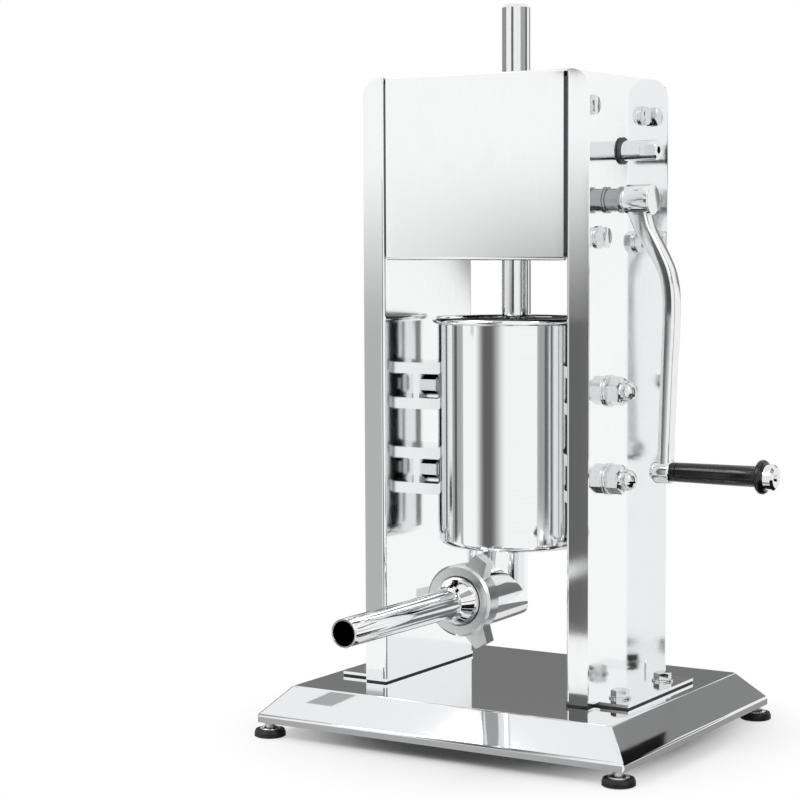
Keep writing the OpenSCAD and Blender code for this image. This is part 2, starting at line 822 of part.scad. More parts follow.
// ring with three lugs that clamps the tube's flange; its bore clears the elbow's rim
module ring_nut() {
  color("silver") difference() {
    union() {
      bar_y(ring_front + 2, ring_back, ring_r, 0, out_z);
      translate([0, ring_front + 2, out_z]) rotate([90, 0, 0]) cylinder(h = 2, r1 = ring_r, r2 = ring_r - 2);
      for (a = [30, 150, 270])
        translate([0, 0, out_z]) rotate([0, a, 0]) {
          translate([0, ring_back - 1.5, 0]) rotate([90, 0, 0])
            linear_extrude(height = ring_back - ring_front - 3.5)
              polygon([[-11, ring_r - 6], [11, ring_r - 6], [6.5, lug_r], [-6.5, lug_r]]);
        }
    }
    bar_y(flange_end - 5, ring_back + 1, out_r + 2.6, 0, out_z);
    bar_y(ring_front - 1, flange_end - 4, bell_r + 0.8, 0, out_z);
  }
}

// ---------- crank ----------

// arm outline in X and Z: inner edge down, outer edge back up
function arm_points() = [
  [hub_x0 + 1, slow_z - 4], [hub_x0 + 4.5, slow_z - 15], [hub_x0 + 9.2, slow_z - 25],
  [hub_x0 + 14, slow_z - 33.5], [hub_x0 + 20, slow_z - 42], [hub_x0 + 26.6, slow_z - 51.5],
  [hub_x0 + 31.2, slow_z - 60.5], [hub_x0 + 34.4, slow_z - 72], [hub_x0 + 35.6, slow_z - 84],
  [hub_x0 + 35.8, slow_z - 96], [hub_x0 + 34.3, slow_z - crank_r * 0.6], [hub_x0 + 30.9, grip_z],
  [hub_x0 + 41.4, grip_z], [hub_x0 + 45, slow_z - crank_r * 0.6], [hub_x0 + 47, slow_z - 96],
  [hub_x0 + 47, slow_z - 84], [hub_x0 + 45.6, slow_z - 72], [hub_x0 + 42.6, slow_z - 60.5],
  [hub_x0 + 38.4, slow_z - 50.5], [hub_x0 + 33, slow_z - 40], [hub_x0 + 27.5, slow_z - 30.5],
  [hub_x0 + 23.5, slow_z - 22], [hub_x0 + 21, slow_z - 12], [hub_x0 + 20, slow_z - 4]
];

module crank_arm() {
  color("silver") difference() {
    union() {
      bar_x(hub_x0, hub_x1, hub_r, slow_y, slow_z);
      translate([0, slow_y + arm_half, 0]) rotate([90, 0, 0])
        linear_extrude(height = 2 * arm_half) polygon(arm_points());
      bar_x(hub_x0 + 27, ferrule_x, 10.3, slow_y, grip_z);
    }
    bar_x(hub_x0 - 1, hub_x1 - 6, shaft_r, slow_y, slow_z);
    bar_x(hub_x0 + 26, ferrule_x + 1, spindle_r, slow_y, grip_z);
    translate([hub_x0 + 7, slow_y, slow_z + shaft_r - 1]) cylinder(h = 8, r = 3);
  }
}

module crank_screw() {
  color("dimgray") difference() {
    translate([hub_x0 + 7, slow_y, slow_z + shaft_r]) cylinder(h = hub_r - shaft_r - 0.5, r = 3);
    translate([hub_x0 + 7, slow_y, slow_z + hub_r - 2.5]) cylinder(h = 5, r = 1.6, $fn = 6);
  }
}

module grip_spindle() {
  color("silver") {
    bar_x(hub_x0 + 27, grip_x1 + 11, spindle_r, slow_y, grip_z);
    bar_x(hub_x0 + 24, hub_x0 + 27 + eps, 6.5, slow_y, grip_z);
  }
}

module grip_ferrule() {
  color("black") difference() {
    bar_x(ferrule_x + 0.3, grip_x, 8.2, slow_y, grip_z);
    bar_x(ferrule_x - 1, grip_x + 1, spindle_r + run_gap, slow_y, grip_z);
  }
}

// sleeve that widens to a rounded end collar
module grip_sleeve() {
  n = 6;
  color("black") translate([grip_x, slow_y, grip_z]) rotate([0, 90, 0]) rotate_extrude() polygon(concat(
    [[spindle_r + run_gap, 0], [7.6, 0], [8.3, 0.8], [8.9, grip_len - 1], [10.4, grip_len]],
    [for (i = [0 : n]) [collar_r - 3 + 3 * sin(180 * i / n), grip_len + 4 - 3 * cos(180 * i / n)]],
    [[spindle_r + run_gap, grip_len + 7]]
  ));
}

// metal end cap on the spindle with a small slotted screw
module grip_end() {
  x0 = grip_x1 + 7.3;
  color("silver") difference() {
    union() {
      bar_x(x0, x0 + 6.5, 10.8, slow_y, grip_z);
      translate([x0 + 6.5, slow_y, grip_z]) rotate([0, 90, 0]) cylinder(h = 2, r1 = 10.8, r2 = 8.6);
      bar_x(x0 + 8, x0 + 10, 3, slow_y, grip_z);
    }
    bar_x(x0 - 1, grip_x1 + 11, spindle_r, slow_y, grip_z);
    block([x0 + 9.2, slow_y - 4, grip_z - 0.5], [x0 + 12, slow_y + 4, grip_z + 0.5]);
  }
}

base_pan();
front_rail();
rear_rail();
foot_stud_fl();
foot_stud_fr();
foot_stud_rl();
foot_stud_rr();
foot_pad_fl();
foot_pad_fr();
foot_pad_rl();
foot_pad_rr();
left_upright();
right_upright();
left_foot_plate();
right_foot_plate();
gaskets();
foot_bolts();
foot_nuts();
gear_housing();
left_side_plate();
right_side_plate();
gear_bracket();
guide_bar();
top_guide();
lower_guide();
box_bolt_set();
fast_shaft();
slow_shaft();
large_gear();
small_gear();
fast_bush_left();
fast_bush_right();
slow_bush_outer();
slow_bush_inner();
fast_collar();
slow_collar();
rack_rod();
piston_disc();
piston_seal();
piston_nut();
air_valve();
cylinder_can();
cylinder_base();
outlet_elbow();
clip_left_low();
clip_left_high();
clip_right_low();
clip_right_high();
clip_studs();
clip_washers();
clip_nuts();
nozzle_seal();
filling_tube();
ring_nut();
crank_arm();
crank_screw();
grip_spindle();
grip_ferrule();
grip_sleeve();
grip_end();
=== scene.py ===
import math

import bmesh
import bpy
from mathutils import Matrix, Vector


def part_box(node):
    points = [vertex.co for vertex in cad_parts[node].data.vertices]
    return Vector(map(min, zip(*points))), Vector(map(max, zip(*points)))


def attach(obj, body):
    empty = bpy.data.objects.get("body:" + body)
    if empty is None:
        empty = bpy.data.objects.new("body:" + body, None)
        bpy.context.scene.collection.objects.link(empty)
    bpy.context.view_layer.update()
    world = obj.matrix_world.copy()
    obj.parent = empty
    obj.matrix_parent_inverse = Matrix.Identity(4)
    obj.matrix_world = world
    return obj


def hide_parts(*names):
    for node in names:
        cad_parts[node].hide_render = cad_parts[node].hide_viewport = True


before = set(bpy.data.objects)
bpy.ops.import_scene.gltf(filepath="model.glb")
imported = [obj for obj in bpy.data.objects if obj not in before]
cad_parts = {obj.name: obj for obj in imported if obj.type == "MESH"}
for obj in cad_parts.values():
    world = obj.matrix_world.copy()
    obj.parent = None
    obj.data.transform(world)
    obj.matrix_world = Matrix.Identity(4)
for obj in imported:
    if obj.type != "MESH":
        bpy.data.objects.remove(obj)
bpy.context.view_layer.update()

# ---------- base pan ----------
# One sheet of mirror-polished stainless steel, folded down all round into a slope and a
# short upright lip. The creases are pressed, so each one has a small radius.


def add(tree, kind, inputs=None, **settings):
    """Adds a node; inputs maps a socket's name or number to a value or to another socket."""
    made = tree.nodes.new(kind)
    for label, value in settings.items():
        setattr(made, label, value)
    for label, value in (inputs or {}).items():
        if isinstance(value, bpy.types.NodeSocket):
            tree.links.new(value, made.inputs[label])
        else:
            made.inputs[label].default_value = value
    return made


def new_material(name):
    """A material with nodes; returns it, its tree and its Principled BSDF."""
    material = bpy.data.materials.new(name)
    material.use_nodes = True
    return material, material.node_tree, material.node_tree.nodes["Principled BSDF"]


def blended(tree, factor, first, second):
    """The colour between first and second."""
    return add(tree, "ShaderNodeMix", {"Factor": factor, "A": first, "B": second}, data_type="RGBA").outputs["Result"]


def set_roughness(tree, shader, value, smooth, rough):
    """Lets a value from 0 to 1 run the roughness from smooth to rough."""
    ranged = add(tree, "ShaderNodeMapRange", {"Value": value, "To Min": smooth, "To Max": rough})
    tree.links.new(ranged.outputs[0], shader.inputs["Roughness"])


def set_relief(tree, shader, height, strength, distance):
    """Bumps the surface by a height."""
    bump = add(tree, "ShaderNodeBump", {"Strength": strength, "Distance": distance, "Height": height})
    tree.links.new(bump.outputs[0], shader.inputs["Normal"])


def shared_effect(name, takes, gives):
    """An empty shader node group with named inputs and outputs."""
    group = bpy.data.node_groups.new(name, "ShaderNodeTree")
    for label, kind, value in takes:
        group.interface.new_socket(label, in_out="INPUT", socket_type=kind).default_value = value
    for label in gives:
        group.interface.new_socket(label, in_out="OUTPUT", socket_type="NodeSocketFloat")
    return group, add(group, "NodeGroupInput"), add(group, "NodeGroupOutput")


# long faint lines left by rolling, drawing or turning, finer than a millimetre across
rolling_lines, start, end = shared_effect(
    "rolling_lines", [("Stretch", "NodeSocketVector", (1, 1, 1)), ("Fineness", "NodeSocketFloat", 60)],
    ["Height", "Tone"])
place = add(rolling_lines, "ShaderNodeTexCoord")
drawn = add(rolling_lines, "ShaderNodeMapping",
            {"Vector": place.outputs["Object"], "Scale": start.outputs["Stretch"]})
lines = add(rolling_lines, "ShaderNodeTexNoise",
            {"Vector": drawn.outputs[0], "Scale": start.outputs["Fineness"], "Detail": 3.0, "Roughness": 0.6})
tone = add(rolling_lines, "ShaderNodeMapRange",
           {"Value": lines.outputs["Fac"], "From Min": 0.3, "From Max": 0.7})
rolling_lines.links.new(lines.outputs["Fac"], end.inputs["Height"])
rolling_lines.links.new(tone.outputs[0], end.inputs["Tone"])

# cloudy wipe marks and dried drops that dull a polished face here and there
SMEAR_SIZE = 9.0
wipe_marks, start, end = shared_effect(
    "wipe_marks", [("Size", "NodeSocketFloat", SMEAR_SIZE), ("Cover", "NodeSocketFloat", 0.5)], ["Smear", "Drops"])
place = add(wipe_marks, "ShaderNodeTexCoord")
cloud = add(wipe_marks, "ShaderNodeTexNoise",
            {"Vector": place.outputs["Object"], "Scale": start.outputs["Size"], "Detail": 5.0, "Roughness": 0.62,
             "Distortion": 0.9})
low = add(wipe_marks, "ShaderNodeMath", {0: 1.0, 1: start.outputs["Cover"]}, operation="SUBTRACT")
smear = add(wipe_marks, "ShaderNodeMapRange",
            {"Value": cloud.outputs["Fac"], "From Min": low.outputs[0], "From Max": 0.85})
spots = add(wipe_marks, "ShaderNodeTexVoronoi",
            {"Vector": place.outputs["Object"], "Scale": 150.0, "Randomness": 1.0})
rim = add(wipe_marks, "ShaderNodeMapRange",
          {"Value": spots.outputs["Distance"], "From Min": 0.16, "From Max": 0.06})
sparse = add(wipe_marks, "ShaderNodeMath", {0: rim.outputs[0], 1: smear.outputs[0]}, operation="MULTIPLY")
wipe_marks.links.new(smear.outputs[0], end.inputs["Smear"])
wipe_marks.links.new(sparse.outputs[0], end.inputs["Drops"])

# hair-thin scratches that cross each other at two angles
light_scratches, start, end = shared_effect(
    "light_scratches", [("Amount", "NodeSocketFloat", 0.5), ("Fineness", "NodeSocketFloat", 20.0)], ["Scratch"])
place = add(light_scratches, "ShaderNodeTexCoord")
crossing = []
for turn, stretch in (((0.5, 0.3, 0.7), (1, 26, 26)), ((-0.6, 0.9, -0.4), (24, 1, 24))):
    laid = add(light_scratches, "ShaderNodeMapping",
               {"Vector": place.outputs["Object"], "Rotation": turn, "Scale": stretch})
    hairs = add(light_scratches, "ShaderNodeTexNoise",
                {"Vector": laid.outputs[0], "Scale": start.outputs["Fineness"], "Detail": 2.0})
    thin = add(light_scratches, "ShaderNodeMapRange",
               {"Value": hairs.outputs["Fac"], "From Min": 0.69, "From Max": 0.76})
    crossing.append(thin.outputs[0])
both = add(light_scratches, "ShaderNodeMath", {0: crossing[0], 1: crossing[1]}, operation="MAXIMUM")
some = add(light_scratches, "ShaderNodeMath", {0: both.outputs[0], 1: start.outputs["Amount"]},
           operation="MULTIPLY")
light_scratches.links.new(some.outputs[0], end.inputs["Scratch"])


HAZE = 0.35
HAZE_TONE = 0.86


def metal(name, colour, dull, stretch=(60, 60, 2), fineness=30.0, lines=0.02, smears=0.06, cover=0.5,
          scratches=0.4, shade=0.9):
    """Bare metal: colour and dull are its tint and roughness, stretch sets the way the rolling lines run."""
    material, tree, shader = new_material(name)
    shader.inputs["Metallic"].default_value = 1.0
    grain = add(tree, "ShaderNodeGroup", {"Stretch": stretch, "Fineness": fineness}, node_tree=rolling_lines)
    marks = add(tree, "ShaderNodeGroup", {"Cover": cover, "Size": SMEAR_SIZE}, node_tree=wipe_marks)
    scratch = add(tree, "ShaderNodeGroup", {"Amount": scratches}, node_tree=light_scratches)
    worn = add(tree, "ShaderNodeMath", {0: marks.outputs["Smear"], 1: scratch.outputs["Scratch"]},
               operation="MAXIMUM")
    tint = blended(tree, grain.outputs["Tone"], (*colour, 1), (*[c * shade for c in colour], 1))
    haze = add(tree, "ShaderNodeMath", {0: worn.outputs[0], 1: HAZE}, operation="MULTIPLY")
    hazed = blended(tree, haze.outputs[0], tint, (*[c * HAZE_TONE for c in colour], 1))
    tree.links.new(hazed, shader.inputs["Base Color"])
    lined = add(tree, "ShaderNodeMapRange",
                {"Value": grain.outputs["Tone"], "To Min": dull * 0.8, "To Max": dull * 1.25})
    cloudy = add(tree, "ShaderNodeMath", {0: worn.outputs[0], 1: smears, 2: lined.outputs[0]},
                 operation="MULTIPLY_ADD")
    wet = add(tree, "ShaderNodeMath", {0: marks.outputs["Drops"], 1: smears * 1.5, 2: cloudy.outputs[0]},
              operation="MULTIPLY_ADD")
    tree.links.new(wet.outputs[0], shader.inputs["Roughness"])
    relief = add(tree, "ShaderNodeMath", {0: scratch.outputs["Scratch"], 1: -0.5, 2: grain.outputs["Height"]},
                 operation="MULTIPLY_ADD")
    set_relief(tree, shader, relief.outputs[0], lines, 0.001)
    return material


def dress(finish, *names):
    """Gives CAD nodes their finish; their shape stays as it is."""
    for name in names:
        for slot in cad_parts[name].material_slots:
            slot.material = finish


CREASE_ANGLE = 32


def smoothed_mesh(name, shape, crease=CREASE_ANGLE):
    """Turns a bmesh into a mesh, sharp only where faces meet above the crease angle in degrees."""
    bmesh.ops.recalc_face_normals(shape, faces=shape.faces)
    for face in shape.faces:
        face.smooth = True
    for edge in shape.edges:
        edge.smooth = len(edge.link_faces) == 2 and edge.calc_face_angle(0) < math.radians(crease)
    mesh = bpy.data.meshes.new(name)
    shape.to_mesh(mesh)
    shape.free()
    return mesh


def in_scene(name, data):
    """A new object in the scene."""
    made = bpy.data.objects.new(name, data)
    bpy.context.scene.collection.objects.link(made)
    return made


def piece(name, shape, finish, body, stands_for=(), crease=CREASE_ANGLE):
    """Turns a bmesh into a finished object on a CAD body."""
    mesh = smoothed_mesh(name, shape, crease)
    mesh.materials.append(finish)
    made = in_scene(name, mesh)
    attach(made, body)
    if stands_for:
        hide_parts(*stands_for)
    return made


def applied(made):
    """Applies the modifiers of an object to its mesh."""
    bpy.context.view_layer.update()
    graph = bpy.context.evaluated_depsgraph_get()
    mesh = bpy.data.meshes.new_from_object(made.evaluated_get(graph), depsgraph=graph)
    made.modifiers.clear()
    made.data = mesh
    return made


polished_pan = metal("polished_pan", (0.83, 0.84, 0.85), 0.045, stretch=(3, 60, 60), fineness=24.0, lines=0.004,
                     smears=0.05, cover=0.42, scratches=0.35, shade=0.98)
pan_low, pan_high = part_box("base_pan")
SLOPE_RUN = 0.023
LIP_HEIGHT = 0.0065
PAN_SHEET = 0.0015
CREASE_ROUND = 0.0014

fold = bmesh.new()
levels = []
for level, inset in ((pan_low.z, 0), (pan_low.z + LIP_HEIGHT, 0), (pan_high.z, SLOPE_RUN)):
    levels.append([fold.verts.new((x, y, level)) for x, y in (
        (pan_low.x + inset, pan_low.y + inset), (pan_high.x - inset, pan_low.y + inset),
        (pan_high.x - inset, pan_high.y - inset), (pan_low.x + inset, pan_high.y - inset))])
for lower, upper in zip(levels, levels[1:]):
    for k in range(4):
        fold.faces.new((lower[k], lower[(k + 1) % 4], upper[(k + 1) % 4], upper[k]))
fold.faces.new(levels[-1])
bmesh.ops.bevel(fold, geom=[e for e in fold.edges if len(e.link_faces) == 2], offset=CREASE_ROUND, segments=4,
                profile=0.5, affect="EDGES")
pan = piece("base_pan_sheet", fold, polished_pan, "frame", ["base_pan"], crease=50)
# the pan's flat sides stay flat-shaded; only the small faces of the creases are smooth
BROAD_FACE = 0.0012
for face in pan.data.polygons:
    face.use_smooth = face.area < BROAD_FACE
wall = pan.modifiers.new("sheet", "SOLIDIFY")
wall.thickness = PAN_SHEET
wall.offset = -1
applied(pan)

# ---------- rails under the pan ----------
# Two hot-rolled steel angles inside the lip, front and back. They stiffen the pan and carry
# the four levelling feet. They are left with their dull mill finish.

dark_steel = metal("dark_steel", (0.09, 0.092, 0.095), 0.40, stretch=(2, 40, 40), fineness=40.0, lines=0.16,
                   smears=0.15, cover=0.55, scratches=0.6, shade=0.75)
dress(dark_steel, "front_rail", "rear_rail")

# ---------- levelling feet ----------
# A turned and threaded steel stud with a round flange at its lower end, moulded into a
# ribbed disc of black rubber. Each foot screws up or down to level the stuffer.


def eased(outline, cut, steps=3, closed=False):
    """Rounds the corners of an outline, starting the curve at cut before each corner."""
    soft = []
    for k, corner in enumerate(outline):
        corner = Vector(corner)
        if not closed and k in (0, len(outline) - 1):
            soft.append(corner)
            continue
        before, after = Vector(outline[k - 1]) - corner, Vector(outline[(k + 1) % len(outline)]) - corner
        into = corner + before.normalized() * min(cut, before.length * 0.45)
        out = corner + after.normalized() * min(cut, after.length * 0.45)
        for step in range(steps + 1):
            t = step / steps
            soft.append((1 - t) ** 2 * into + 2 * t * (1 - t) * corner + t * t * out)
    return soft


AIMS = {"X": Matrix.Rotation(math.pi / 2, 4, "Y"), "Z": Matrix.Identity(4),
        "front": Matrix.Rotation(math.pi / 2, 4, "X")}


def turned(outline, at, aim="Z", sides=64, closed=False, into=None):
    """Spins (radius, distance) pairs round a line from at along +X, +Z or to the front."""
    shape = into or bmesh.new()
    place = Matrix.Translation(at) @ AIMS[aim]
    rings = []
    for radius, along in outline:
        count = 1 if radius < 1e-7 else sides
        rings.append([shape.verts.new(place @ Vector((radius * math.cos(math.tau * k / count),
                                                      radius * math.sin(math.tau * k / count), along)))
                      for k in range(count)])
    for low, high in zip(rings, rings[1:] + ([rings[0]] if closed else [])):
        for k in range(sides):
            around = (low[k % len(low)], low[(k + 1) % len(low)], high[(k + 1) % len(high)], high[k % len(high)])
            corners = list(dict.fromkeys(around))
            if len(corners) > 2:
                shape.faces.new(corners)
    return shape


def grown(name, tree, points, **values):
    """Runs a Geometry Nodes tree on a mesh and returns its plain result as an object."""
    made = in_scene(name, points)
    modifier = made.modifiers.new("made", "NODES")
    modifier.node_group = tree
    for item in tree.interface.items_tree:
        if item.in_out == "INPUT" and item.name in values:
            modifier[item.identifier] = values[item.name]
    return applied(made)


def tree_of(name, takes):
    """An empty Geometry Nodes tree with named inputs."""
    tree = bpy.data.node_groups.new(name, "GeometryNodeTree")
    tree.interface.new_socket("Geometry", in_out="INPUT", socket_type="NodeSocketGeometry")
    tree.interface.new_socket("Geometry", in_out="OUTPUT", socket_type="NodeSocketGeometry")
    for label, kind, value in takes:
        socket = tree.interface.new_socket(label, in_out="INPUT", socket_type=kind)
        if value is not None:
            socket.default_value = value
    return tree, add(tree, "NodeGroupInput"), add(tree, "NodeGroupOutput")


screw_thread, start, end = tree_of("screw_thread", [
    ("Radius", "NodeSocketFloat", 0.005), ("Pitch", "NodeSocketFloat", 0.0015), ("Turns", "NodeSocketFloat", 6.0),
    ("Depth", "NodeSocketFloat", 0.0005), ("Place", "NodeSocketVector", (0, 0, 0)),
    ("Finish", "NodeSocketMaterial", None)])
rise = add(screw_thread, "ShaderNodeMath", {0: start.outputs["Pitch"], 1: start.outputs["Turns"]},
           operation="MULTIPLY")
helix = add(screw_thread, "GeometryNodeCurveSpiral", {
    "Resolution": 28, "Rotations": start.outputs["Turns"], "Start Radius": start.outputs["Radius"],
    "End Radius": start.outputs["Radius"], "Height": rise.outputs[0]})
ridge = add(screw_thread, "GeometryNodeCurvePrimitiveCircle", {"Resolution": 4, "Radius": start.outputs["Depth"]})
wound = add(screw_thread, "GeometryNodeCurveToMesh",
            {"Curve": helix.outputs[0], "Profile Curve": ridge.outputs["Curve"], "Fill Caps": True})
moved = add(screw_thread, "GeometryNodeTransform",
            {"Geometry": wound.outputs[0], "Translation": start.outputs["Place"]})
solid = add(screw_thread, "GeometryNodeRealizeInstances", {0: moved.outputs[0]})
coated = add(screw_thread, "GeometryNodeSetMaterial",
             {"Geometry": solid.outputs[0], "Material": start.outputs["Finish"]})
screw_thread.links.new(coated.outputs[0], end.inputs[0])

bolt_steel = metal("bolt_steel", (0.78, 0.785, 0.79), 0.08, stretch=(8, 8, 8), fineness=60.0, lines=0.03,
                   smears=0.10, cover=0.45, scratches=0.4, shade=0.9)

black_rubber, tree, shader = new_material("black_rubber")
place = add(tree, "ShaderNodeTexCoord")
skin = add(tree, "ShaderNodeTexNoise", {"Vector": place.outputs["Object"], "Scale": 900.0, "Detail": 3.0})
dust = add(tree, "ShaderNodeTexNoise",
           {"Vector": place.outputs["Object"], "Scale": 60.0, "Detail": 4.0, "Distortion": 0.6})
settled = add(tree, "ShaderNodeMapRange", {"Value": dust.outputs["Fac"], "From Min": 0.42, "From Max": 0.72})
tint = blended(tree, settled.outputs[0], (0.012, 0.012, 0.013, 1), (0.035, 0.034, 0.032, 1))
tree.links.new(tint, shader.inputs["Base Color"])
set_roughness(tree, shader, settled.outputs[0], 0.42, 0.68)
shader.inputs["Specular IOR Level"].default_value = 0.25
set_relief(tree, shader, skin.outputs["Fac"], 0.25, 0.0004)

for corner, body in (("fl", "foot_front_left"), ("fr", "foot_front_right"),
                     ("rl", "foot_rear_left"), ("rr", "foot_rear_right")):
    low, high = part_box("foot_pad_" + corner)
    middle = (low + high) / 2
    seat = Vector((middle.x, middle.y, 0))
    radius, height = (high.x - low.x) / 2, high.z
    groove = [(radius - 0.0006 * (k % 2), 0.0008 + k * 0.0007) for k in range(5)]
    rubber = turned([(0, 0), (radius - 0.0012, 0), *groove, (radius - 0.0012, height), (0.0092, height),
                     (0.0092, height - 0.0015), (0, height - 0.0015)], seat, sides=72)
    piece("rubber_disc_" + corner, rubber, black_rubber, body, ["foot_pad_" + corner], crease=50)
    low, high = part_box("foot_stud_" + corner)
    stud = turned(eased([(0, low.z), (0.009, low.z), (0.009, low.z + 0.0032), (0.0062, low.z + 0.0044),
                         (0.0046, low.z + 0.005), (0.0046, high.z - 0.0006), (0.004, high.z), (0, high.z)], 0.0005),
                  seat, sides=48)
    piece("foot_stem_" + corner, stud, bolt_steel, body, ["foot_stud_" + corner])
    thread = grown("foot_thread_" + corner, screw_thread, bpy.data.meshes.new("thread"), Radius=0.0046, Pitch=0.0015,
                   Turns=6.0, Depth=0.0005, Place=(seat.x, seat.y, high.z - 0.0098), Finish=bolt_steel)
    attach(thread, body)

# ---------- foot plates and gaskets ----------
# Each upright stands on a plate of stainless sheet with an open tab for its two bolts and
# low lips under the flanges. A thin black rubber gasket keeps juice from creeping under it.

sheet_steel = metal("sheet_steel", (0.92, 0.925, 0.93), 0.09, stretch=(60, 60, 2), fineness=24.0, lines=0.005,
                    smears=0.05, cover=0.4, scratches=0.3, shade=0.985)
dress(sheet_steel, "left_foot_plate", "right_foot_plate")
dress(black_rubber, "gaskets")

# ---------- foot bolts and nuts ----------
# Stainless hexagon bolts with plain washers hold each foot plate to the pan; their nuts
# sit under it. The heads are forged, with a turned crown that cuts the six corners.


def hexagon(corner, height, crown=0.95, bore=0.0, sides=72):
    """A forged hexagon that stands on z = 0, its corners cut by a 30 degree cone at the top."""
    flat = corner * math.cos(math.pi / 6)
    face = flat * crown
    shape = bmesh.new()
    rings = [[], [], []]
    for k in range(sides):
        angle = math.tau * k / sides
        reach = flat / math.cos((angle + math.pi / 6) % (math.pi / 3) - math.pi / 6)
        way = Vector((math.cos(angle), math.sin(angle), 0))
        for ring, radius, level in zip(rings, (reach, reach, face),
                                       (0, height - (reach - face) * math.tan(math.pi / 6), height)):
            ring.append(shape.verts.new(way * radius + Vector((0, 0, level))))
    if bore:
        for level in (height, 0):
            rings.append([shape.verts.new((bore * math.cos(math.tau * k / sides),
                                           bore * math.sin(math.tau * k / sides), level)) for k in range(sides)])
        rings.append(rings[0])
    for low, high in zip(rings, rings[1:]):
        for k in range(sides):
            shape.faces.new((low[k], low[(k + 1) % sides], high[(k + 1) % sides], high[k]))
    if not bore:
        shape.faces.new(rings[2])
        shape.faces.new(rings[0][::-1])
    return shape


def seats(places):
    """A mesh of points, one for each (place, turn) pair; turn aims the fastener's axis."""
    mesh = bpy.data.meshes.new("seats")
    mesh.from_pydata([tuple(at) for at, turn in places], [], [])
    aim = mesh.attributes.new("aim", "FLOAT_VECTOR", "POINT")
    for k, (at, turn) in enumerate(places):
        aim.data[k].vector = turn
    return mesh


row_of_fasteners, start, end = tree_of("row_of_fasteners", [
    ("Fastener", "NodeSocketObject", None), ("Loose Turn", "NodeSocketFloat", 0.6), ("Seed", "NodeSocketInt", 4),
    ("Size", "NodeSocketFloat", 1.0), ("Finish", "NodeSocketMaterial", None)])
shape = add(row_of_fasteners, "GeometryNodeObjectInfo", {"Object": start.outputs["Fastener"]})
dots = add(row_of_fasteners, "GeometryNodeMeshToPoints", {"Mesh": start.outputs["Geometry"]})
aimed = add(row_of_fasteners, "GeometryNodeInputNamedAttribute", {"Name": "aim"}, data_type="FLOAT_VECTOR")
angle = add(row_of_fasteners, "FunctionNodeEulerToRotation", {0: aimed.outputs[0]})
placed = add(row_of_fasteners, "GeometryNodeInstanceOnPoints", {
    "Points": dots.outputs[0], "Instance": shape.outputs["Geometry"], "Rotation": angle.outputs[0],
    "Scale": start.outputs["Size"]})
by_hand = add(row_of_fasteners, "FunctionNodeRandomValue",
              {"Max": start.outputs["Loose Turn"], "Seed": start.outputs["Seed"]}, data_type="FLOAT")
spin = add(row_of_fasteners, "ShaderNodeCombineXYZ", {"Z": by_hand.outputs[1]})
spun = add(row_of_fasteners, "FunctionNodeEulerToRotation", {0: spin.outputs[0]})
tightened = add(row_of_fasteners, "GeometryNodeRotateInstances", {
    "Instances": placed.outputs[0], "Rotation": spun.outputs[0], "Local Space": True})
solid = add(row_of_fasteners, "GeometryNodeRealizeInstances", {0: tightened.outputs[0]})
coated = add(row_of_fasteners, "GeometryNodeSetMaterial",
             {"Geometry": solid.outputs[0], "Material": start.outputs["Finish"]})
row_of_fasteners.links.new(coated.outputs[0], end.inputs[0])


def fasteners(name, shape, places, finish, stands_for=(), seed=4, loose=0.9):
    """Sets one fastener on every seat, as one plain mesh on the frame."""
    pattern = in_scene(name + "_pattern", smoothed_mesh(name + "_pattern", shape))
    row = grown(name, row_of_fasteners, seats(places), **{
        "Fastener": pattern, "Loose Turn": loose, "Seed": seed, "Size": 1.0, "Finish": finish})
    bpy.data.objects.remove(pattern)
    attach(row, "frame")
    if stands_for:
        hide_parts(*stands_for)
    return row


def joined(*shapes):
    """Puts several bmeshes in one."""
    whole = bmesh.new()
    for shape in shapes:
        spare = bpy.data.meshes.new("spare")
        shape.to_mesh(spare)
        shape.free()
        whole.from_mesh(spare)
        bpy.data.meshes.remove(spare)
    return whole


def lifted(shape, height):
    """Raises a bmesh."""
    bmesh.ops.translate(shape, vec=(0, 0, height), verts=shape.verts)
    return shape


def plain_washer(bore, rim, thick, round_off):
    """A washer that stands on z = 0."""
    outline = eased([(bore, 0), (rim, 0), (rim, thick), (bore, thick)], round_off, closed=True)
    return turned(outline, ORIGIN, closed=True)


ORIGIN = (0, 0, 0)
FOOT_BOLT_X = 0.124
FOOT_BOLT_Y = 0.0425
FOOT_WASHER = 0.0016
PLATE_TOP = 0.048
on_the_plates = [(Vector((x, y, PLATE_TOP)), ORIGIN)
                 for x in (-FOOT_BOLT_X, FOOT_BOLT_X) for y in (-FOOT_BOLT_Y, FOOT_BOLT_Y)]
washer = plain_washer(0.0041, 0.0095, FOOT_WASHER, 0.0003)
head = lifted(hexagon(0.008, 0.006), FOOT_WASHER)
shank = turned(eased([(0, -0.018), (0.0036, -0.018), (0.004, -0.017), (0.004, 0), (0, 0)], 0.0002), ORIGIN, sides=32)
fasteners("foot_plate_bolts", joined(washer, head, shank), on_the_plates, bolt_steel,
          ["foot_bolts"], seed=7)
dress(bolt_steel, "foot_nuts")

# ---------- uprights ----------
# Two channels of polished stainless sheet that open outwards, with rounded top corners on
# their flanges. They carry the cylinder's clips and the gear housing between them.

dress(sheet_steel, "left_upright", "right_upright")

# ---------- gear housing ----------
# A bent skin of the same sheet, its lower edges hemmed, over two thick side plates. Inside
# are a bearing bracket, a cross bar and two nylon guides for the rod.

dress(sheet_steel, "gear_housing")
dress(dark_steel, "left_side_plate", "right_side_plate", "gear_bracket", "guide_bar")

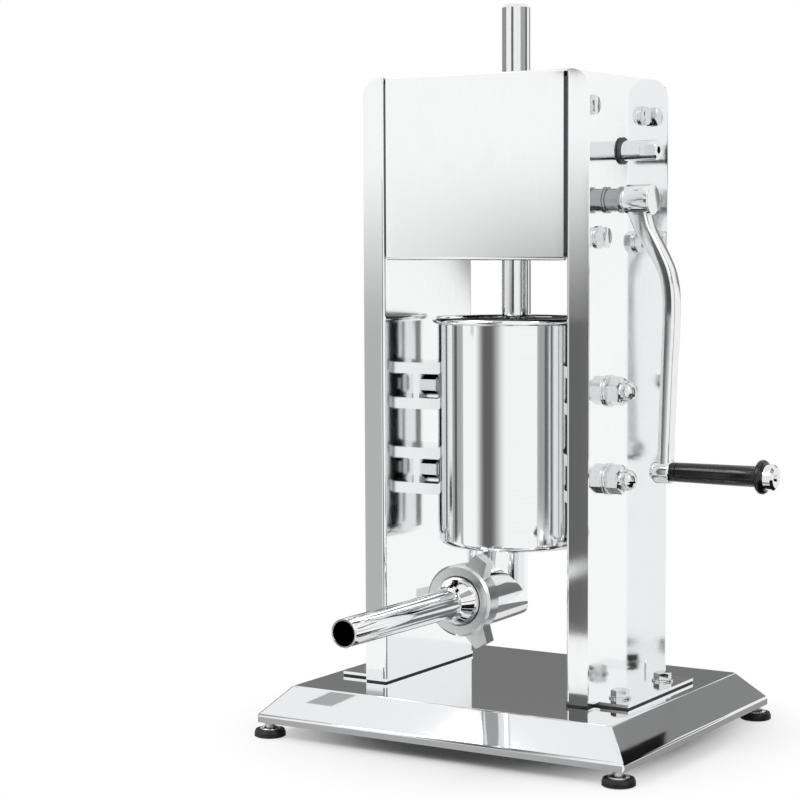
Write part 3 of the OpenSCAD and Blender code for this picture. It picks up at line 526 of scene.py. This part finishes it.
white_nylon, tree, shader = new_material("white_nylon")
place = add(tree, "ShaderNodeTexCoord")
cut_marks = add(tree, "ShaderNodeTexNoise", {"Vector": place.outputs["Object"], "Scale": 260.0, "Detail": 3.0})
tint = blended(tree, cut_marks.outputs["Fac"], (0.78, 0.77, 0.73, 1), (0.66, 0.64, 0.59, 1))
tree.links.new(tint, shader.inputs["Base Color"])
set_roughness(tree, shader, cut_marks.outputs["Fac"], 0.34, 0.5)
set_relief(tree, shader, cut_marks.outputs["Fac"], 0.12, 0.0004)
shader.inputs["Subsurface Weight"].default_value = 0.1
dress(white_nylon, "top_guide", "lower_guide")

# ---------- housing bolts ----------
# Four hexagon bolts with washers in each upright hold the housing's side plates. The two
# upper ones have smaller and thinner heads.

WEB_FACE = 0.092
HOUSING_WASHER = 0.0018
HOUSING_BOLT_RADIUS = 0.005
for name, corner, height, seed, stands_for, spots in (
        ("housing_bolts_upper", 0.0083, 0.006, 3, ["box_bolt_set"], ((-0.036, 0.552), (0.064, 0.547))),
        ("housing_bolts_lower", 0.0096, 0.0092, 8, [], ((-0.022, 0.440), (0.054, 0.436)))):
    on_the_webs = [(Vector((side * WEB_FACE, y, z)), (0, side * math.pi / 2, 0))
                   for side in (-1, 1) for y, z in spots]
    washer = plain_washer(HOUSING_BOLT_RADIUS, corner + 0.0004, HOUSING_WASHER, 0.0003)
    head = lifted(hexagon(corner, height - HOUSING_WASHER), HOUSING_WASHER)
    shank = turned([(0, -0.016), (HOUSING_BOLT_RADIUS, -0.016), (HOUSING_BOLT_RADIUS, 0.001), (0, 0.001)],
                   ORIGIN, sides=32)
    fasteners(name, joined(washer, head, shank), on_the_webs, bolt_steel, stands_for, seed=seed)

# ---------- shafts, gears and bushes ----------
# Both shafts are ground steel bar in bronze bushes. The gears are milled, and the free end
# of the fast shaft has a flat and a centre hole for the crank's screw.

gear_steel = metal("gear_steel", (0.42, 0.425, 0.43), 0.16, stretch=(2, 60, 60), fineness=40.0, lines=0.05,
                   smears=0.10, cover=0.5, scratches=0.4, shade=0.85)
ground_steel = metal("ground_steel", (0.82, 0.825, 0.83), 0.06, stretch=(60, 2, 2), fineness=40.0, lines=0.012,
                     smears=0.06, cover=0.45, scratches=0.3, shade=0.93)
bronze = metal("bronze", (0.60, 0.38, 0.17), 0.24, stretch=(40, 6, 6), fineness=50.0, lines=0.1,
               smears=0.15, cover=0.5, scratches=0.4, shade=0.8)
dress(ground_steel, "fast_shaft", "slow_shaft")
dress(dark_steel, "fast_collar")
dress(gear_steel, "slow_collar", "large_gear", "small_gear")
dress(bronze, "fast_bush_left", "fast_bush_right", "slow_bush_outer", "slow_bush_inner")

# ---------- rack rod and piston ----------
# The rod is a ground bar with the rack cut in its rear side. It carries a thick piston with
# a nylon seal ring, a locking nut and a red silicone valve that lets the air out.

rod_steel = metal("rod_steel", (0.86, 0.865, 0.87), 0.05, stretch=(50, 50, 2), fineness=30.0, lines=0.008,
                  smears=0.06, cover=0.45, scratches=0.4, shade=0.93)
dress(rod_steel, "rack_rod", "piston_disc")
dress(white_nylon, "piston_seal", "nozzle_seal")
dress(bolt_steel, "piston_nut")

red_silicone, tree, shader = new_material("red_silicone")
place = add(tree, "ShaderNodeTexCoord")
skin = add(tree, "ShaderNodeTexNoise", {"Vector": place.outputs["Object"], "Scale": 500.0, "Detail": 2.0})
tint = blended(tree, skin.outputs["Fac"], (0.50, 0.03, 0.025, 1), (0.36, 0.02, 0.02, 1))
tree.links.new(tint, shader.inputs["Base Color"])
set_roughness(tree, shader, skin.outputs["Fac"], 0.3, 0.5)
dress(red_silicone, "air_valve")

# ---------- cylinder and outlet ----------
# The meat cylinder is rolled and welded from thin sheet, mirror-polished outside, with a
# bead rolled over a wire round its mouth. A mitred outlet is welded under its front edge.

CAN_COLOUR = (0.90, 0.905, 0.91)
CAN_FINISH = {"stretch": (2, 2, 50), "fineness": 22.0, "lines": 0.005, "smears": 0.05, "cover": 0.42,
              "scratches": 0.3, "shade": 0.98}
polished_can = metal("polished_can", CAN_COLOUR, 0.05, **CAN_FINISH)
dress(polished_can, "cylinder_base", "outlet_elbow")

# the bore is honed and left duller than the mirror outside; its colour is painted darker inside, as shade in the
# cylinder
can_wall = metal("can_wall", CAN_COLOUR, 0.05, **CAN_FINISH)
tree = can_wall.node_tree
shader = tree.nodes["Principled BSDF"]
place = add(tree, "ShaderNodeTexCoord")
flat = add(tree, "ShaderNodeVectorMath", {0: place.outputs["Object"], 1: (1, 1, 0)}, operation="MULTIPLY")
radius = add(tree, "ShaderNodeVectorMath", {0: flat.outputs[0]}, operation="LENGTH")
can_low, can_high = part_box("cylinder_base")
BORE_RADIUS = (can_high.x - can_low.x) / 2 - 0.0015
inside = add(tree, "ShaderNodeMapRange", {"Value": radius.outputs["Value"], "From Min": BORE_RADIUS + 0.0006,
                                          "From Max": BORE_RADIUS + 0.0003})
outer_colour = shader.inputs["Base Color"].links[0].from_socket
outer_dull = shader.inputs["Roughness"].links[0].from_socket
# painted shade: the bore's colour is darkened to grey, while the added roughness is the honed finish
colour = blended(tree, inside.outputs[0], outer_colour, (0.30, 0.305, 0.31, 1))
dulled = add(tree, "ShaderNodeMath", {0: inside.outputs[0], 1: 0.22, 2: outer_dull}, operation="MULTIPLY_ADD")
tree.links.new(colour, shader.inputs["Base Color"])
tree.links.new(dulled.outputs[0], shader.inputs["Roughness"])
dress(can_wall, "cylinder_can")

# ---------- clips, studs and dome nuts ----------
# Four bent clips are welded to the cylinder. A stud from each goes through the web to a
# thick washer and a dome nut.

dress(sheet_steel, "clip_left_low", "clip_left_high", "clip_right_low", "clip_right_high")
dress(bolt_steel, "clip_studs")
CLIP_BOLTS = (0.230, 0.307)
CLIP_WASHER = 0.0025
DOME_RADIUS = 0.0094
DOME_LEVEL = 0.0170
outside_webs = [(Vector((side * WEB_FACE, 0, z)), (0, side * math.pi / 2, 0)) for side in (-1, 1) for z in CLIP_BOLTS]
washer = plain_washer(0.0062, 0.014, CLIP_WASHER, 0.0005)
fasteners("clip_washers_thick", washer, outside_webs, bolt_steel, ["clip_washers"], seed=1, loose=0.0)
crown = [(DOME_RADIUS * math.cos(math.pi * k / 24), DOME_LEVEL + DOME_RADIUS * math.sin(math.pi * k / 24))
         for k in range(1, 13)]
dome = turned([(0.0105, 0.0139), (0.0098, 0.0146), (DOME_RADIUS, 0.0152), (DOME_RADIUS, DOME_LEVEL), *crown],
              ORIGIN, sides=72)
body = lifted(hexagon(0.013, 0.0115, crown=0.96), CLIP_WASHER)
fasteners("dome_nuts", joined(body, dome), outside_webs, bolt_steel, ["clip_nuts"], seed=5)

# ---------- ring nut and filling tube ----------
# The long stuffing tube is drawn from stainless tube and flared into a bell and a flange. A
# cast and machined ring with three lugs clamps the flange to the outlet.

cast_ring = metal("cast_ring", (0.70, 0.705, 0.71), 0.17, stretch=(12, 12, 12), fineness=60.0, lines=0.08,
                  smears=0.10, cover=0.5, scratches=0.4, shade=0.88)
dress(cast_ring, "ring_nut")
tube_low, tube_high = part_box("filling_tube")
drawn_tube = metal("drawn_tube", (0.88, 0.885, 0.89), 0.045, stretch=(50, 2, 50), fineness=24.0, lines=0.006,
                   smears=0.05, cover=0.42, scratches=0.3, shade=0.98)
tube_centre = Vector(((tube_low.x + tube_high.x) / 2, tube_high.y, (tube_low.z + tube_high.z) / 2))
reach = tube_high.y - tube_low.y
bell = [(0.021, 0), (0.027, 0), (0.027, 0.003), (0.0212, 0.003), (0.021, 0.004), (0.021, 0.009), (0.0206, 0.012),
        (0.0193, 0.0155), (0.0173, 0.0190), (0.0153, 0.0225), (0.0137, 0.0260), (0.0128, 0.0300), (0.0126, 0.036),
        (0.0118, reach - 0.040), (0.0118, reach - 0.0006), (0.0112, reach), (0.0104, reach), (0.0101, reach - 0.0006),
        (0.0101, reach - 0.040), (0.0111, 0.036), (0.0114, 0.030), (0.0123, 0.0265), (0.0140, 0.0225), (0.0159, 0.0190),
        (0.0178, 0.0155), (0.0190, 0.012), (0.0194, 0.009), (0.0194, 0.003)]
piece("stuffing_tube", turned(eased(bell, 0.0004, steps=2, closed=True), tube_centre, "front", sides=96, closed=True),
      drawn_tube, "frame", ["filling_tube"], crease=40)

# ---------- crank ----------
# A forged arm, ground and chromed, with a round hub that clamps on the slow shaft and a
# boss for the grip's spindle. It bends outwards below the hub and hangs straight down.

chromed_crank = metal("chromed_crank", (0.86, 0.865, 0.87), 0.08, stretch=(6, 6, 3), fineness=30.0, lines=0.025,
                      smears=0.07, cover=0.45, scratches=0.4, shade=0.93)
arm_low, arm_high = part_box("crank_arm")
shaft_low, shaft_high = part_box("slow_shaft")
hub = Vector((arm_low.x, (shaft_low.y + shaft_high.y) / 2, (shaft_low.z + shaft_high.z) / 2))
# in mm: the middle of the bar from the hub's inner face and axis, half its width and half its depth
ARM = ((10.5, 2, 9.6, 7.8), (10.9, -5, 9.4, 7.8), (12.6, -13.5, 8.4, 7.9), (16.2, -23.5, 7.3, 8.0),
       (20.8, -32, 6.9, 8.0), (26.5, -41, 6.4, 8.0), (32.4, -51, 5.9, 8.0), (36.9, -60.5, 5.7, 8.0),
       (40.0, -72, 5.6, 8.0), (41.3, -84, 5.6, 8.0), (41.4, -96, 5.6, 8.0), (40.9, -117, 5.5, 8.0),
       (39.65, -139.2, 5.35, 7.8), (38.4, -170, 5.3, 7.6), (37.2, -200, 5.25, 7.5), (36.15, -232, 5.25, 7.5))


def between(rows, t):
    """Smooth value at t along evenly numbered rows."""
    k = min(int(t), len(rows) - 2)
    f = t - k
    before, a, b, after = (Vector(rows[max(0, min(len(rows) - 1, k + n))]) for n in (-1, 0, 1, 2))
    return 0.5 * (2 * a + (b - before) * f + (2 * before - 5 * a + 4 * b - after) * f * f
                  + (3 * a - 3 * b + after - before) * f ** 3)


def rounded_box_ring(half_width, half_depth, corner, steps=6):
    """Points of a rectangle with round corners."""
    ring = []
    for k, (x, y) in enumerate(((1, 1), (-1, 1), (-1, -1), (1, -1))):
        for step in range(steps + 1):
            angle = math.pi / 2 * (k + step / steps)
            ring.append((x * (half_width - corner) + corner * math.cos(angle),
                         y * (half_depth - corner) + corner * math.sin(angle)))
    return ring


arm = bmesh.new()
rings = []
ROWS = 90
LOOK = 0.05
MM = 1000
for k in range(ROWS + 1):
    t = k / ROWS * (len(ARM) - 1)
    here = between(ARM, t)
    ahead = between(ARM, min(t + LOOK, len(ARM) - 1))
    behind = between(ARM, max(t - LOOK, 0))
    along = Vector((ahead[0] - behind[0], 0, ahead[1] - behind[1])).normalized()
    across = Vector((-along.z, 0, along.x))
    centre = hub + Vector((here[0], 0, here[1])) / MM
    rings.append([arm.verts.new(centre + across * u + Vector((0, v, 0)))
                  for u, v in rounded_box_ring(here[2] / MM, here[3] / MM, 0.0024)])
for low, high in zip(rings, rings[1:]):
    for k in range(len(low)):
        arm.faces.new((low[k], low[(k + 1) % len(low)], high[(k + 1) % len(high)], high[k]))
arm.faces.new(rings[0])
arm.faces.new(rings[-1][::-1])
turned(eased([(0, 0), (0.013, 0), (0.013, 0.024), (0, 0.024)], 0.0011, steps=4), hub, "X", sides=96, into=arm)
boss = hub + Vector((0.027, 0, ARM[-1][1] / MM))
turned(eased([(0, 0), (0.0103, 0), (0.0103, 0.016), (0, 0.016)], 0.0018, steps=5), boss, "X", sides=80, into=arm)
piece("crank_forging", arm, chromed_crank, "crank", ["crank_arm"], crease=40)
dress(dark_steel, "crank_screw")
dress(bolt_steel, "grip_spindle")

# ---------- grip ----------
# A moulded black plastic sleeve that turns on the spindle, with a raised round collar at
# its outer end, a ferrule next to the boss and a turned steel cap with a slotted screw.

black_plastic, tree, shader = new_material("black_plastic")
place = add(tree, "ShaderNodeTexCoord")
skin = add(tree, "ShaderNodeTexNoise", {"Vector": place.outputs["Object"], "Scale": 700.0, "Detail": 2.0})
hand = add(tree, "ShaderNodeGroup", {"Size": 40.0}, node_tree=wipe_marks)
scratch = add(tree, "ShaderNodeGroup", {"Fineness": 34.0}, node_tree=light_scratches)
tint = blended(tree, scratch.outputs["Scratch"], (0.004, 0.004, 0.0045, 1), (0.02, 0.02, 0.021, 1))
tree.links.new(tint, shader.inputs["Base Color"])
set_roughness(tree, shader, hand.outputs["Smear"], 0.16, 0.26)
set_relief(tree, shader, skin.outputs["Fac"], 0.08, 0.0003)

sleeve_low, sleeve_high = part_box("grip_sleeve")
axis = Vector((sleeve_low.x, hub.y, (sleeve_low.z + sleeve_high.z) / 2))
length = sleeve_high.x - sleeve_low.x
collar = [(0.0145 * 0.8 + 0.0029 * math.sin(math.pi * k / 12), length - 0.0035 - 0.0034 * math.cos(math.pi * k / 12))
          for k in range(13)]
sleeve = [(0.0041, 0.0), (0.0076, 0.0), (0.0083, 0.0008), (0.0085, 0.020), (0.0087, 0.045), (0.0089, length - 0.0088),
          (0.0096, length - 0.0074), *collar, (0.0108, length - 0.0001), (0.0041, length - 0.0001)]
piece("sleeve_moulding", turned(sleeve, axis, "X", sides=96, closed=True), black_plastic, "grip",
      ["grip_sleeve"], crease=40)
dress(black_plastic, "grip_ferrule")
dress(ground_steel, "grip_end")

# ---------- studio ----------
# A pale floor, a white surround, two soft lamps, and grey and dark cards that only polished
# metal sees. The cards are set for the photograph's angle; from others their edges show.

world = bpy.data.worlds.new("surround")
bpy.context.scene.world = world
world.use_nodes = True
tree = world.node_tree
tree.nodes.clear()
path = add(tree, "ShaderNodeLightPath")
seen = add(tree, "ShaderNodeMath", {0: path.outputs["Is Camera Ray"], 1: path.outputs["Is Glossy Ray"]},
           operation="MAXIMUM")
seen = add(tree, "ShaderNodeMath", {0: seen.outputs[0], 1: path.outputs["Is Transmission Ray"]},
           operation="MAXIMUM")
fill = add(tree, "ShaderNodeBackground", {"Color": (1, 1, 1, 1), "Strength": 0.5})
white = add(tree, "ShaderNodeBackground", {"Color": (1, 1, 1, 1), "Strength": 1.0})
mixed = add(tree, "ShaderNodeMixShader", {0: seen.outputs[0], 1: fill.outputs[0], 2: white.outputs[0]})
add(tree, "ShaderNodeOutputWorld", {"Surface": mixed.outputs[0]})


def sheet_at(name, corners, material):
    """A flat stage sheet through four corners."""
    mesh = bpy.data.meshes.new(name)
    mesh.from_pydata(corners, [], [(0, 1, 2, 3)])
    mesh.materials.append(material)
    made = in_scene(name, mesh)
    return made


FLOOR_HALF = 4
FLOOR_LEVEL = -0.0003
floor_paint, tree = new_material("floor_paint")[:2]
tree.nodes.clear()
place = add(tree, "ShaderNodeTexCoord")
far = add(tree, "ShaderNodeVectorMath", {0: place.outputs["Object"]}, operation="LENGTH")
edge = add(tree, "ShaderNodeMapRange", {"Value": far.outputs["Value"], "From Min": 0.12, "From Max": 0.29},
           interpolation_type="SMOOTHSTEP")
speckle = add(tree, "ShaderNodeTexNoise", {"Vector": place.outputs["Object"], "Scale": 300.0})
paint = blended(tree, speckle.outputs["Fac"], (0.95, 0.95, 0.95, 1), (0.92, 0.92, 0.92, 1))
matt = add(tree, "ShaderNodeBsdfDiffuse", {"Color": paint})
glow = add(tree, "ShaderNodeEmission", {"Color": (1, 1, 1, 1), "Strength": 1.0})
path = add(tree, "ShaderNodeLightPath")
seen = add(tree, "ShaderNodeMath", {0: path.outputs["Is Camera Ray"], 1: path.outputs["Is Glossy Ray"]},
           operation="MAXIMUM")
bright = add(tree, "ShaderNodeMath", {0: seen.outputs[0], 1: edge.outputs[0]}, operation="MULTIPLY")
mixed = add(tree, "ShaderNodeMixShader", {0: bright.outputs[0], 1: matt.outputs[0], 2: glow.outputs[0]})
add(tree, "ShaderNodeOutputMaterial", {"Surface": mixed.outputs[0]})
sheet_at("floor", [(x * FLOOR_HALF, y * FLOOR_HALF, FLOOR_LEVEL) for x, y in ((-1, -1), (1, -1), (1, 1), (-1, 1))],
         floor_paint)


def ramp(tree, place, axis, begin, finish, low, high):
    """A soft ramp along one object axis; begin and finish may run either way."""
    apart = add(tree, "ShaderNodeSeparateXYZ", {0: place.outputs["Object"]})
    return add(tree, "ShaderNodeMapRange", {"Value": apart.outputs[axis], "From Min": begin, "From Max": finish,
                                            "To Min": low, "To Max": high}, interpolation_type="SMOOTHSTEP").outputs[0]


def card(name, corners, tones, axis, begin, finish, melts=()):
    """A card that only reflections see. Its tone runs between two tones along an axis and melts into white
    along each (axis, begin, finish) of melts."""
    material, tree = new_material(name)[:2]
    tree.nodes.clear()
    place = add(tree, "ShaderNodeTexCoord")
    tone = ramp(tree, place, axis, begin, finish, *tones)
    for melt_axis, melt_begin, melt_finish in melts:
        paler = ramp(tree, place, melt_axis, melt_begin, melt_finish, 0.0, 1.0)
        rest = add(tree, "ShaderNodeMath", {0: 1.0, 1: tone}, operation="SUBTRACT")
        tone = add(tree, "ShaderNodeMath", {0: paler, 1: rest.outputs[0], 2: tone},
                   operation="MULTIPLY_ADD").outputs[0]
    glow = add(tree, "ShaderNodeEmission", {"Color": tone, "Strength": 1.0})
    add(tree, "ShaderNodeOutputMaterial", {"Surface": glow.outputs[0]})
    made = sheet_at(name, corners, material)
    for ray in ("camera", "diffuse", "shadow", "transmission", "volume_scatter"):
        setattr(made, "visible_" + ray, False)
    return made


def upright_card(name, x, y, z, *tone):
    """A card that faces front or back between two x and two z."""
    return card(name, [(x[0], y, z[0]), (x[1], y, z[0]), (x[1], y, z[1]), (x[0], y, z[1])], *tone)


def side_card(name, x, y, z, *tone):
    """A card that faces left or right between two y and two z."""
    return card(name, [(x, y[0], z[0]), (x, y[1], z[0]), (x, y[1], z[1]), (x, y[0], z[1])], *tone)


def flat_card(name, x, y, z, *tone):
    """A level card between two x and two y."""
    return card(name, [(x[0], y[0], z), (x[1], y[0], z), (x[1], y[1], z), (x[0], y[1], z)], *tone)


# in front, from left to right: for the left flange, the housing, the right flange, the cylinder, the arm, the rod
upright_card("card_left_flange", (-0.162, -0.134), -0.15, (0.07, 0.57), (0.47, 1.0), "Z", 0.34, 0.53)
upright_card("card_housing", (-0.253, -0.05), -0.346, (0.34, 0.56), (0.75, 0.30), "X", -0.25, -0.05,
             [("Z", 0.34, 0.54)])
upright_card("card_right_flange", (-0.055, -0.018), -0.344, (0.36, 0.58), (0.20, 1.0), "Z", 0.34, 0.56)
upright_card("card_cylinder", (-0.20, 0.12), -0.345, (0.05, 0.36), (0.13, 0.13), "Z", 0, 1,
             [("X", -0.08, -0.19), ("X", -0.035, 0.10)])
upright_card("card_arm", (-0.023, 0.07), -0.344, (0.361, 0.50), (0.07, 0.20), "Z", 0.36, 0.50)
upright_card("card_rod", (-0.06, 0.05), -0.345, (0.60, 0.80), (0.16, 0.16), "Z", 0, 1)
# behind: for the base's top, the right slope and the rod
card("card_rear_left", [(-1.3, 0.75, 0.03), (0.1, 1.1, 0.03), (0.1, 1.1, 0.58), (-1.3, 0.75, 0.58)],
     (0.19, 0.24), "Z", 0.1, 0.6)
card("card_rear_right", [(0.2, 1.05, 0.32), (0.44, 1.05, 0.32), (0.585, 1.05, 0.545), (0.2, 1.05, 1.1)],
     (0.27, 0.27), "Z", 0, 1)
# at the sides: thin stripes near the edges of everything round
side_card("card_left", -0.8, (-0.60, 0.3), (0.06, 0.80), (0.42, 0.25), "Y", -0.5, 0.3)
side_card("card_left_edge", -0.79, (-0.38, -0.29), (0.06, 0.80), (0.12, 0.12), "Z", 0, 1)
side_card("card_right", 0.9, (0.22, 0.6), (0.0, 0.9), (0.15, 0.15), "Z", 0, 1)
side_card("card_right_high", 0.9, (-0.45, 0.215), (0.58, 1.1), (0.42, 0.42), "Z", 0, 1)
# flat: under the shafts, under the nuts, under the tube, and thin strips that the lips see
flat_card("card_under_shafts", (0.25, 0.6), (-0.21, 0.22), 0.15, (0.01, 0.01), "X", 0, 1)
flat_card("card_under_nuts", (0.2, 0.6), (-0.14, 0.13), 0.03, (0.01, 0.01), "X", 0, 1)
flat_card("card_under_tube", (-0.12, 0.12), (-0.30, -0.155), 0.0008, (0.02, 0.02), "X", 0, 1)
flat_card("card_lip_front", (-0.27, 0.17), (-0.236, -0.182), 0.0012, (0.45, 0.45), "X", 0, 1)
flat_card("card_lip_right", (0.192, 0.245), (-0.2, 0.3), 0.0012, (0.35, 0.35), "X", 0, 1)

LAMPS_AIM = Vector((0, 0, 0.25))
for name, at, size, power in (("key_lamp", (-1.3, -1.9, 2.3), 1.5, 42.0), ("side_lamp", (2.1, -0.9, 1.7), 1.2, 18.0)):
    lamp = bpy.data.lights.new(name, "AREA")
    lamp.size = size
    lamp.energy = power
    facing = (LAMPS_AIM - Vector(at)).to_track_quat("-Z", "Y").to_matrix().to_4x4()
    in_scene(name, lamp).matrix_world = Matrix.Translation(at) @ facing

# the camera that a fit to the photograph gave: place in metres, turns in degrees
CAMERA_PLACE = (0.9312, -1.6932, 0.4417)
CAMERA_YAW = 31.887
CAMERA_DOWN = 4.312
CAMERA_ROLL = -0.267
lens = bpy.data.cameras.new("camera")
lens.lens = 97.661
lens.sensor_width = 36.0
lens.clip_end = 50.0
camera = in_scene("camera", lens)
camera.matrix_world = (Matrix.Translation(CAMERA_PLACE) @ Matrix.Rotation(math.radians(CAMERA_YAW), 4, "Z")
                       @ Matrix.Rotation(math.radians(90 - CAMERA_DOWN), 4, "X")
                       @ Matrix.Rotation(math.radians(CAMERA_ROLL), 4, "Z"))
bpy.context.scene.camera = camera
bpy.context.scene.view_settings.view_transform = "Standard"
